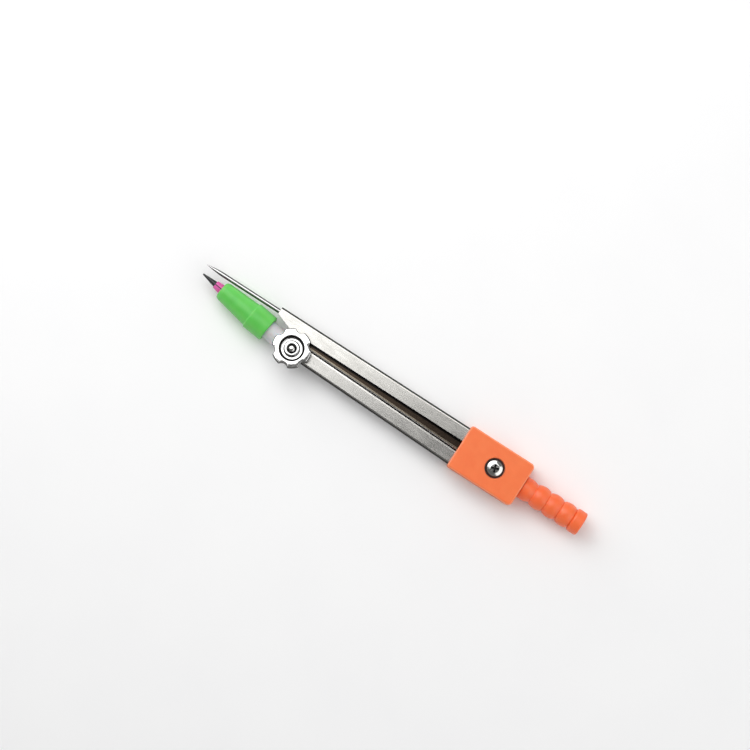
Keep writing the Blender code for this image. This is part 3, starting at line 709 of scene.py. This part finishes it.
def finish_leg(leg, name, place, inner, mirrored, extra=()):
    """Cuts away all but one sheet at the ear, drills the pivot hole and deburrs the edges.

    The needle leg keeps its upper sheet. The pencil leg keeps its lower one, and is mirrored.
    """
    low, high = LEG_BOTTOM + SHEET, LEG_TOP - SHEET
    lip = box("above_lip", (-LIP_FAR - PAST, inner - EAR_RADIUS, low + SHEET),
              (-LIP_NEAR + PAST, inner, LEG_TOP + PAST))
    levels = (low, LEG_TOP + PAST) if mirrored else (LEG_BOTTOM - PAST, high)
    around = EAR_RADIUS + 5 * PAST
    ear = box("ear_cut", (-CHANNEL_START, -around, levels[0]), (around, around, levels[1]))
    hole = cylinder("ear_hole", PIVOT_HOLE, LEG_BOTTOM - PAST, LEG_TOP + PAST, steps=64)
    combine(leg, "DIFFERENCE", lip, ear, hole, *extra)
    burr = 0.07 * MM
    soften(leg, burr, 2, 50)
    if mirrored:
        leg.data.transform(Matrix.Scale(-1, 4, (0, 1, 0)))
        leg.data.flip_normals()
    leg.matrix_world = place
    finish_piece(leg, materials[name], name, name)


def make_needle_leg():
    """A channel with a slanting nose, whose back flange reaches out to the pencil leg's."""
    outer = leg_high.y - PIVOT.y
    inner = outer - LEG_WIDTH
    nose = leg_low.x - PIVOT.x
    sheet = fold_sheet("needle_leg_sheet", -EAR_RADIUS - PAST, outer, nose, EAR_RADIUS + PAST)
    outline = ear_outline(inner, outer, SWING_LIMIT)
    outline += [Vector((nose - PAST, outer + PAST)),
                Vector((nose - PAST, inner + NOSE_CUT * (1 + PAST / NOSE_LENGTH))),
                Vector((nose + NOSE_LENGTH, inner)), Vector((-LIP_FAR, inner))]
    for along_leg in (LIP_FAR - LIP_SLOPE, LIP_NEAR + LIP_SLOPE):
        pencil_inner = (math.tan(-PENCIL_LEG_TURN) * along_leg
                        - (PENCIL_LEG_OFFSET - LEG_WIDTH / 2) / math.cos(PENCIL_LEG_TURN))
        outline.append(Vector((-along_leg, pencil_inner + PENCIL_LIP + LIP_GAP)))
    outline.append(Vector((-LIP_NEAR, inner)))
    blank = prism("needle_leg_blank", outline, LEG_BOTTOM - PAST, LEG_TOP + PAST)
    combine(sheet, "INTERSECT", blank)
    finish_leg(sheet, "needle_leg", AT_PIVOT, inner, mirrored=False)


def make_pencil_leg():
    """Built like the needle leg and mirrored, with a forked round end at the knee."""
    half = LEG_WIDTH / 2
    outer = PENCIL_LEG_OFFSET + half
    inner = PENCIL_LEG_OFFSET - half
    end = -KNEE_REACH - half
    sheet = fold_sheet("pencil_leg_sheet", -EAR_RADIUS - PAST, outer, end - PAST,
                       EAR_RADIUS + PAST)
    outline = ear_outline(inner, outer, SWING_LIMIT + PENCIL_LEG_TURN)
    outline += [Vector((-KNEE_REACH, outer + PAST))]
    outline += arc((-KNEE_REACH, PENCIL_LEG_OFFSET), half, 90, 270, 32)
    outline += [Vector((-LIP_FAR, inner)), Vector((-LIP_FAR + LIP_SLOPE, inner - PENCIL_LIP)),
                Vector((-LIP_NEAR - LIP_SLOPE, inner - PENCIL_LIP)),
                Vector((-LIP_NEAR, inner))]
    blank = prism("pencil_leg_blank", outline, LEG_BOTTOM - PAST, LEG_TOP + PAST)
    combine(sheet, "INTERSECT", blank)
    fork_low, fork_high = LEG_BOTTOM + SHEET, LEG_TOP - SHEET
    fork = box("fork_cut", (end - PAST, inner - PAST, fork_low),
               (-KNEE_REACH + WEB_CUT_BACK, outer + PAST, fork_high))
    hole = cylinder("knee_hole", KNEE_HOLE, LEG_BOTTOM - PAST, LEG_TOP + PAST,
                    Matrix.Translation((-KNEE_REACH, PENCIL_LEG_OFFSET, 0)), steps=64)
    finish_leg(sheet, "pencil_leg", AT_PENCIL_LEG, inner, mirrored=True, extra=(fork, hole))


def make_needle():
    """A round needle with a long curved taper to a slightly blunt point."""
    radius = (needle_high.z - needle_low.z) / 2
    tip, rear = PIVOT.x - needle_low.x - 0.01 * MM, PIVOT.x - needle_high.x
    chamfer = 0.1 * MM
    taper, taper_steps, narrowing, curve = 6 * MM, 14, 0.93, 1.7
    profile = [Vector((0, rear)), Vector((radius - chamfer, rear)),
               Vector((radius, rear + chamfer))]
    for k in range(taper_steps):
        share = k / taper_steps
        profile.append(Vector((radius * (1 - share ** curve * narrowing),
                               tip - taper * (1 - share))))
    profile += [Vector((radius * (1 - narrowing), tip - 0.05 * MM)), Vector((0, tip))]
    needle = lathe("needle_point", profile, AT_NEEDLE, steps=48)
    finish_piece(needle, materials["needle_steel"], "needle_leg", "needle", 50)


# ---------------------------------------------------------------- knee

def make_knee_bolt():
    """A flat round head at the back, and a threaded, domed end inside the thumb nut."""
    top, radius, head_radius = bolt_high.z, 1.25 * MM, (bolt_high.x - bolt_low.x) / 2
    head_top = LEG_BOTTOM - 0.51 * MM  # under its washer
    pitch, depth, steps_per_pitch = 0.45 * MM, 0.12 * MM, 6
    thread_start, thread_end = LEG_TOP + 1.0 * MM, top - 0.75 * MM
    profile = [Vector((0, 0))]
    profile += rounded([(0, 0), (head_radius, 0, 0.4 * MM), (head_radius, head_top, 0.2 * MM),
                        (radius, head_top), (radius, thread_start)], closed=False)[1:]
    thread_steps = int((thread_end - thread_start) / (pitch / steps_per_pitch))
    for k in range(1, thread_steps + 1):
        profile.append(Vector((radius, thread_start + k * pitch / steps_per_pitch)))
    dome, dome_steps = 0.6 * MM, 10
    for k in range(dome_steps):
        angle = math.pi / 2 * k / dome_steps
        profile.append(Vector(((radius - depth) * math.cos(angle),
                               top - dome * (1 - math.sin(angle)))))
    profile.append(Vector((0, top)))

    def thread(angle, reach, height):
        """Cuts a V-shaped groove that climbs by one pitch a turn."""
        if not thread_start < height < thread_end:
            return reach, height
        phase = (height / pitch + angle / (2 * math.pi)) % 1.0
        return reach - depth * abs(2 * phase - 1), height

    bolt = lathe("knee_bolt_threaded", profile, AT_KNEE, steps=72, rim=thread)
    finish_piece(bolt, materials["bright_steel"], "knee_bolt", "knee_bolt")


def make_thumb_nut():
    """Six lobes, a dished face, and a boss with a countersunk hole."""
    low, top, radius = nut_low.z, nut_high.z, 5.95 * MM
    lobes, valley_angle = 6, math.radians(36)
    valley_radius, valley_centre = 1.7 * MM, 6.75 * MM
    blend = 0.12 * MM  # how softly the lobes run into the valleys
    dish_radius, lobe_zone = 3.82 * MM, 4.1 * MM  # the lobes' shape fades out at lobe_zone

    def edge_of_lobe(angle):
        """The nut's outline as a radius: a circle bitten by six smaller circles."""
        step = 2 * math.pi / lobes
        off = (angle - valley_angle + step / 2) % step - step / 2
        side = valley_centre * math.sin(off)
        if abs(side) >= valley_radius:
            return radius
        bite = valley_centre * math.cos(off) - math.sqrt(valley_radius ** 2 - side ** 2)
        return -blend * math.log(math.exp(-radius / blend) + math.exp(-bite / blend))

    def rim(angle, reach, height):
        if reach < lobe_zone:
            return reach, height
        share = (reach - lobe_zone) / (radius - lobe_zone)
        return lobe_zone + share * (edge_of_lobe(angle) - lobe_zone), height

    floor, boss = top - 1.2 * MM, top - 0.4 * MM
    chamfer, countersink = 0.25 * MM, 0.2 * MM
    profile = rounded([(dish_radius, top, 0.12 * MM), (lobe_zone + 0.2 * MM, top),
                       (radius, top, 0.45 * MM), (radius, low, 0.35 * MM),
                       (KNEE_HOLE + chamfer, low), (KNEE_HOLE, low + chamfer),
                       (KNEE_HOLE, boss - countersink), (KNEE_HOLE + chamfer, boss, 0.04 * MM),
                       (2.2 * MM, boss, 0.25 * MM), (2.42 * MM, floor, 0.15 * MM),
                       (3.25 * MM, floor, 0.45 * MM)], steps=6)
    nut = lathe("lobed_thumb_nut", profile, AT_KNEE, steps=288, closed=True, rim=rim)
    finish_piece(nut, materials["chrome"], "thumb_nut", "thumb_nut", 45)


# ---------------------------------------------------------------- lead holder

def make_lead_holder():
    """The milky barrel, with a flat lug that the knee clamps."""
    rear, shoulder, front = 3.0 * MM, 11.9 * MM, 20.5 * MM
    bore_end, bore_step = 7.0 * MM, 12.0 * MM
    lead_bore, collet_bore, neck_radius, radius = 1.1 * MM, 1.85 * MM, 2.4 * MM, 2.9 * MM
    profile = [Vector((0, bore_end)), Vector((lead_bore, bore_end)),
               Vector((lead_bore, bore_step)), Vector((collet_bore, bore_step)),
               Vector((collet_bore, front))]
    profile += rounded([(collet_bore, front), (neck_radius, front, 0.15 * MM),
                        (neck_radius, shoulder), (radius, shoulder, 0.1 * MM),
                        (radius, rear, 0.45 * MM), (0, rear)], closed=False)[1:]
    barrel = lathe("lead_holder_barrel", profile)

    half_thickness, half_neck = 1.35 * MM, 2.15 * MM
    lug_radius, lug_end, neck_angle = 2.4 * MM, 4.0 * MM, 26
    lug_outline = [Vector((-half_neck, lug_end)), Vector((half_neck, lug_end))]
    lug_outline += arc((0, 0), lug_radius, neck_angle, -180 - neck_angle, 36)
    swap_y_and_z = Matrix(((1, 0, 0, 0), (0, 0, 1, 0), (0, 1, 0, 0), (0, 0, 0, 1)))
    lug = prism("lug", lug_outline, -half_thickness, half_thickness, swap_y_and_z)
    hole = cylinder("lug_hole", KNEE_HOLE, -3 * PAST, 3 * PAST,
                    Matrix.Rotation(math.pi / 2, 4, "X"), steps=64)
    combine(barrel, "UNION", lug)
    combine(barrel, "DIFFERENCE", hole)
    edge = 0.1 * MM
    soften(barrel, edge, 2, 50)
    barrel.matrix_world = AT_HOLDER
    finish_piece(barrel, materials["milky_plastic"], "lead_holder",
                 "lead_holder")


def make_collet():
    """A pink sleeve with four slit fingers, which swell behind the tip."""
    rear, slit_start, swell, tip = 12.5 * MM, 17.0 * MM, 22.6 * MM, 29.9 * MM
    bore, radius, tip_radius, swell_radius = 1.08 * MM, 1.75 * MM, 1.55 * MM, 2.38 * MM
    profile = rounded([(bore, tip), (1.25 * MM, tip, 0.05 * MM), (tip_radius, 27.5 * MM),
                       (tip_radius, 26.9 * MM), (swell_radius, swell), (radius, 21.2 * MM),
                       (radius, rear), (bore, rear)])
    collet = lathe("collet_fingers", profile, steps=64, closed=True)
    half, reach, end = 0.15 * MM, 3.0 * MM, 32.0 * MM
    slits = [box("slit_a", (-reach, -half, slit_start), (reach, half, end)),
             box("slit_b", (-half, -reach, slit_start), (half, reach, end))]
    combine(collet, "DIFFERENCE", *slits)
    collet.matrix_world = AT_HOLDER
    finish_piece(collet, materials["pink_plastic"], "lead_holder", "collet")


def make_nose_cap():
    """The green screw-on cap: a wide band at the rear, then a long taper with a round nose."""
    rear, step, front = 9.3 * MM, 15.8 * MM, 27.5 * MM
    mouth, nose, step_radius = 1.65 * MM, 3.0 * MM, 3.84 * MM
    band_front, band_rear = 4.25 * MM, 4.13 * MM
    thread, thread_end, bore, bore_end = 3.02 * MM, 12.0 * MM, 2.5 * MM, 22.5 * MM
    profile = rounded([(mouth, front, 0.12 * MM), (2.6 * MM, front, 0.5 * MM),
                       (nose, front - 1.1 * MM, 0.9 * MM),
                       (step_radius, step + 0.3 * MM, 0.2 * MM),
                       (4.0 * MM, step, 0.1 * MM), (band_front, step - 0.15 * MM, 0.25 * MM),
                       (band_rear, rear, 0.35 * MM), (thread, rear, 0.15 * MM),
                       (thread, thread_end), (bore, thread_end), (bore, bore_end),
                       (mouth, 26.9 * MM)], steps=8)
    cap = lathe("screw_on_nose_cap", profile, AT_HOLDER, steps=128, closed=True)
    finish_piece(cap, materials["green_plastic"], "nose_cap", "nose_cap", 40)


def make_lead():
    """A 2 mm lead, sharpened to a slightly uneven point."""
    rear, cone, tip = 10.8 * MM, 29.6 * MM, 34.8 * MM
    radius, chamfer = 1.0 * MM, 0.05 * MM
    cone_steps, narrowing, unevenness = 14, 0.76 * MM, 0.012 * MM
    cone_end = tip - 0.12 * MM
    profile = [Vector((0, rear)), Vector((radius - chamfer, rear)),
               Vector((radius, rear + chamfer))]
    for k in range(cone_steps + 1):
        share = k / cone_steps
        profile.append(Vector((radius - narrowing * share + unevenness * math.sin(k * 2.4),
                               cone + (cone_end - cone) * share)))
    profile += [Vector((0.13 * MM, tip - 0.02 * MM)), Vector((0, tip))]
    lead = lathe("sharpened_lead", profile, AT_HOLDER, steps=48)
    finish_piece(lead, materials["graphite"], "lead", "lead", 50)


def dress_cad_nodes():
    """The pieces whose CAD shape is already right get their materials."""
    finishes = {
        "pivot_sleeve_nut": "bright_steel", "pivot_spring_washer": "dark_steel",
        "front_friction_washer": "nylon", "back_friction_washer": "nylon",
        "ear_spacer": "nylon", "needle_wedge": "dull_steel",
        "knee_washer": "bright_steel", "knee_spacer": "bright_steel",
    }
    for node, finish in finishes.items():
        slots = frame["nodes"][node].material_slots
        slots[0].material = materials[finish]


# ---------------------------------------------------------------- stage

def area_light(name, place, target, size, watts, turn=0.0):
    data = bpy.data.lights.new(name, "AREA")
    data.size = size
    data.energy = watts
    lamp = bpy.data.objects.new(name, data)
    bpy.context.scene.collection.objects.link(lamp)
    lamp.location = place
    lamp.rotation_euler = (Vector(target) - Vector(place)).to_track_quat("-Z", "Y").to_euler()
    lamp.rotation_euler.rotate_axis("Z", turn)


def make_floor():
    half, thickness, gap = 1.5, 0.0101, 0.0001
    floor = box("floor", (-half, -half, -gap - thickness), (half, half, -gap))
    surface = Surface("pale_floor", (0.95, 0.95, 0.95), 0.8)
    surface.mix_colour(surface.noise(30 * MM, detail=2), (0.92, 0.92, 0.925), 0.5)
    surface.bump(surface.noise(0.8 * MM, detail=3), 0.01 * MM, 0.2)
    floor.data.materials.append(surface.material)


def make_camera():
    """Looks down steeply, with the compass lying from upper left to lower right."""
    azimuth, elevation = math.radians(32.84), math.radians(87)
    distance, across = 0.7, 0.22215  # across is the width of the view at the target
    left_of_pivot, ahead_of_pivot = 0.0352, 0.02766
    right = Vector((math.cos(azimuth), math.sin(azimuth), 0))
    ahead = Vector((-math.sin(azimuth), math.cos(azimuth), 0))
    target = Vector((PIVOT.x, PIVOT.y, LEG_MIDDLE))
    target += ahead * ahead_of_pivot - right * left_of_pivot
    back = -ahead * math.cos(elevation) + Vector((0, 0, math.sin(elevation)))
    data = bpy.data.cameras.new("camera")
    data.sensor_width = 36
    data.lens = data.sensor_width * distance / across
    data.clip_start, data.clip_end = 0.01, 10
    camera = bpy.data.objects.new("camera", data)
    bpy.context.scene.collection.objects.link(camera)
    camera.location = target + back * distance
    camera.rotation_euler = (-back).to_track_quat("-Z", "Y").to_euler()
    bpy.context.scene.camera = camera
    return target, right, ahead


def make_lights(target, right, ahead):
    """A softbox over the legs' far side, a window behind it and a fill from the right.

    The softbox hangs level, and its near edge crosses the legs' reflection, so that the flat
    metal turns from white at the knee to grey at the head.
    """
    up = Vector((0, 0, 1))
    size, height, edge_from_pivot, sideways = 0.6, 0.55, 0.058, 0.03
    away = Vector((-1, 1, 0)).normalized()
    edge = Vector((PIVOT.x, PIVOT.y, height)) + away * edge_from_pivot
    softbox = edge + away * size / 2 - away.cross(up) * sideways
    area_light("softbox", softbox, softbox - up, size, 2.15, math.radians(45))
    window = target - right * 0.4 + ahead * 0.5 + up * 0.45
    area_light("window", window, target, 0.7, 2.9)
    fill = target + right * 0.5 - ahead * 0.3 + up * 0.45
    area_light("fill", fill, target, 0.8, 2.5)


def make_world():
    """A soft room, dimmer overhead than round the sides."""
    world = bpy.data.worlds.new("soft_room")
    bpy.context.scene.world = world
    bpy.context.scene.view_settings.view_transform = "Standard"
    world.use_nodes = True
    nodes, links = world.node_tree.nodes, world.node_tree.links
    coords = nodes.new("ShaderNodeTexCoord")
    split = nodes.new("ShaderNodeSeparateXYZ")
    ramp = nodes.new("ShaderNodeValToRGB")
    ramp.color_ramp.interpolation = "EASE"
    low, high = ramp.color_ramp.elements
    low.position, low.color = 0.35, (0.42, 0.42, 0.425, 1)
    high.position, high.color = 0.85, (0.14, 0.138, 0.135, 1)
    links.new(coords.outputs["Generated"], split.inputs["Vector"])
    links.new(split.outputs["Z"], ramp.inputs["Fac"])
    links.new(ramp.outputs["Color"], nodes["Background"].inputs["Color"])
    nodes["Background"].inputs["Strength"].default_value = 1.0


materials = make_materials()
make_head()
make_handle()
make_pivot_screw()
make_needle_leg()
make_pencil_leg()
make_needle()
make_knee_bolt()
make_thumb_nut()
make_lead_holder()
make_collet()
make_nose_cap()
make_lead()
dress_cad_nodes()
make_floor()
make_lights(*make_camera())
make_world()
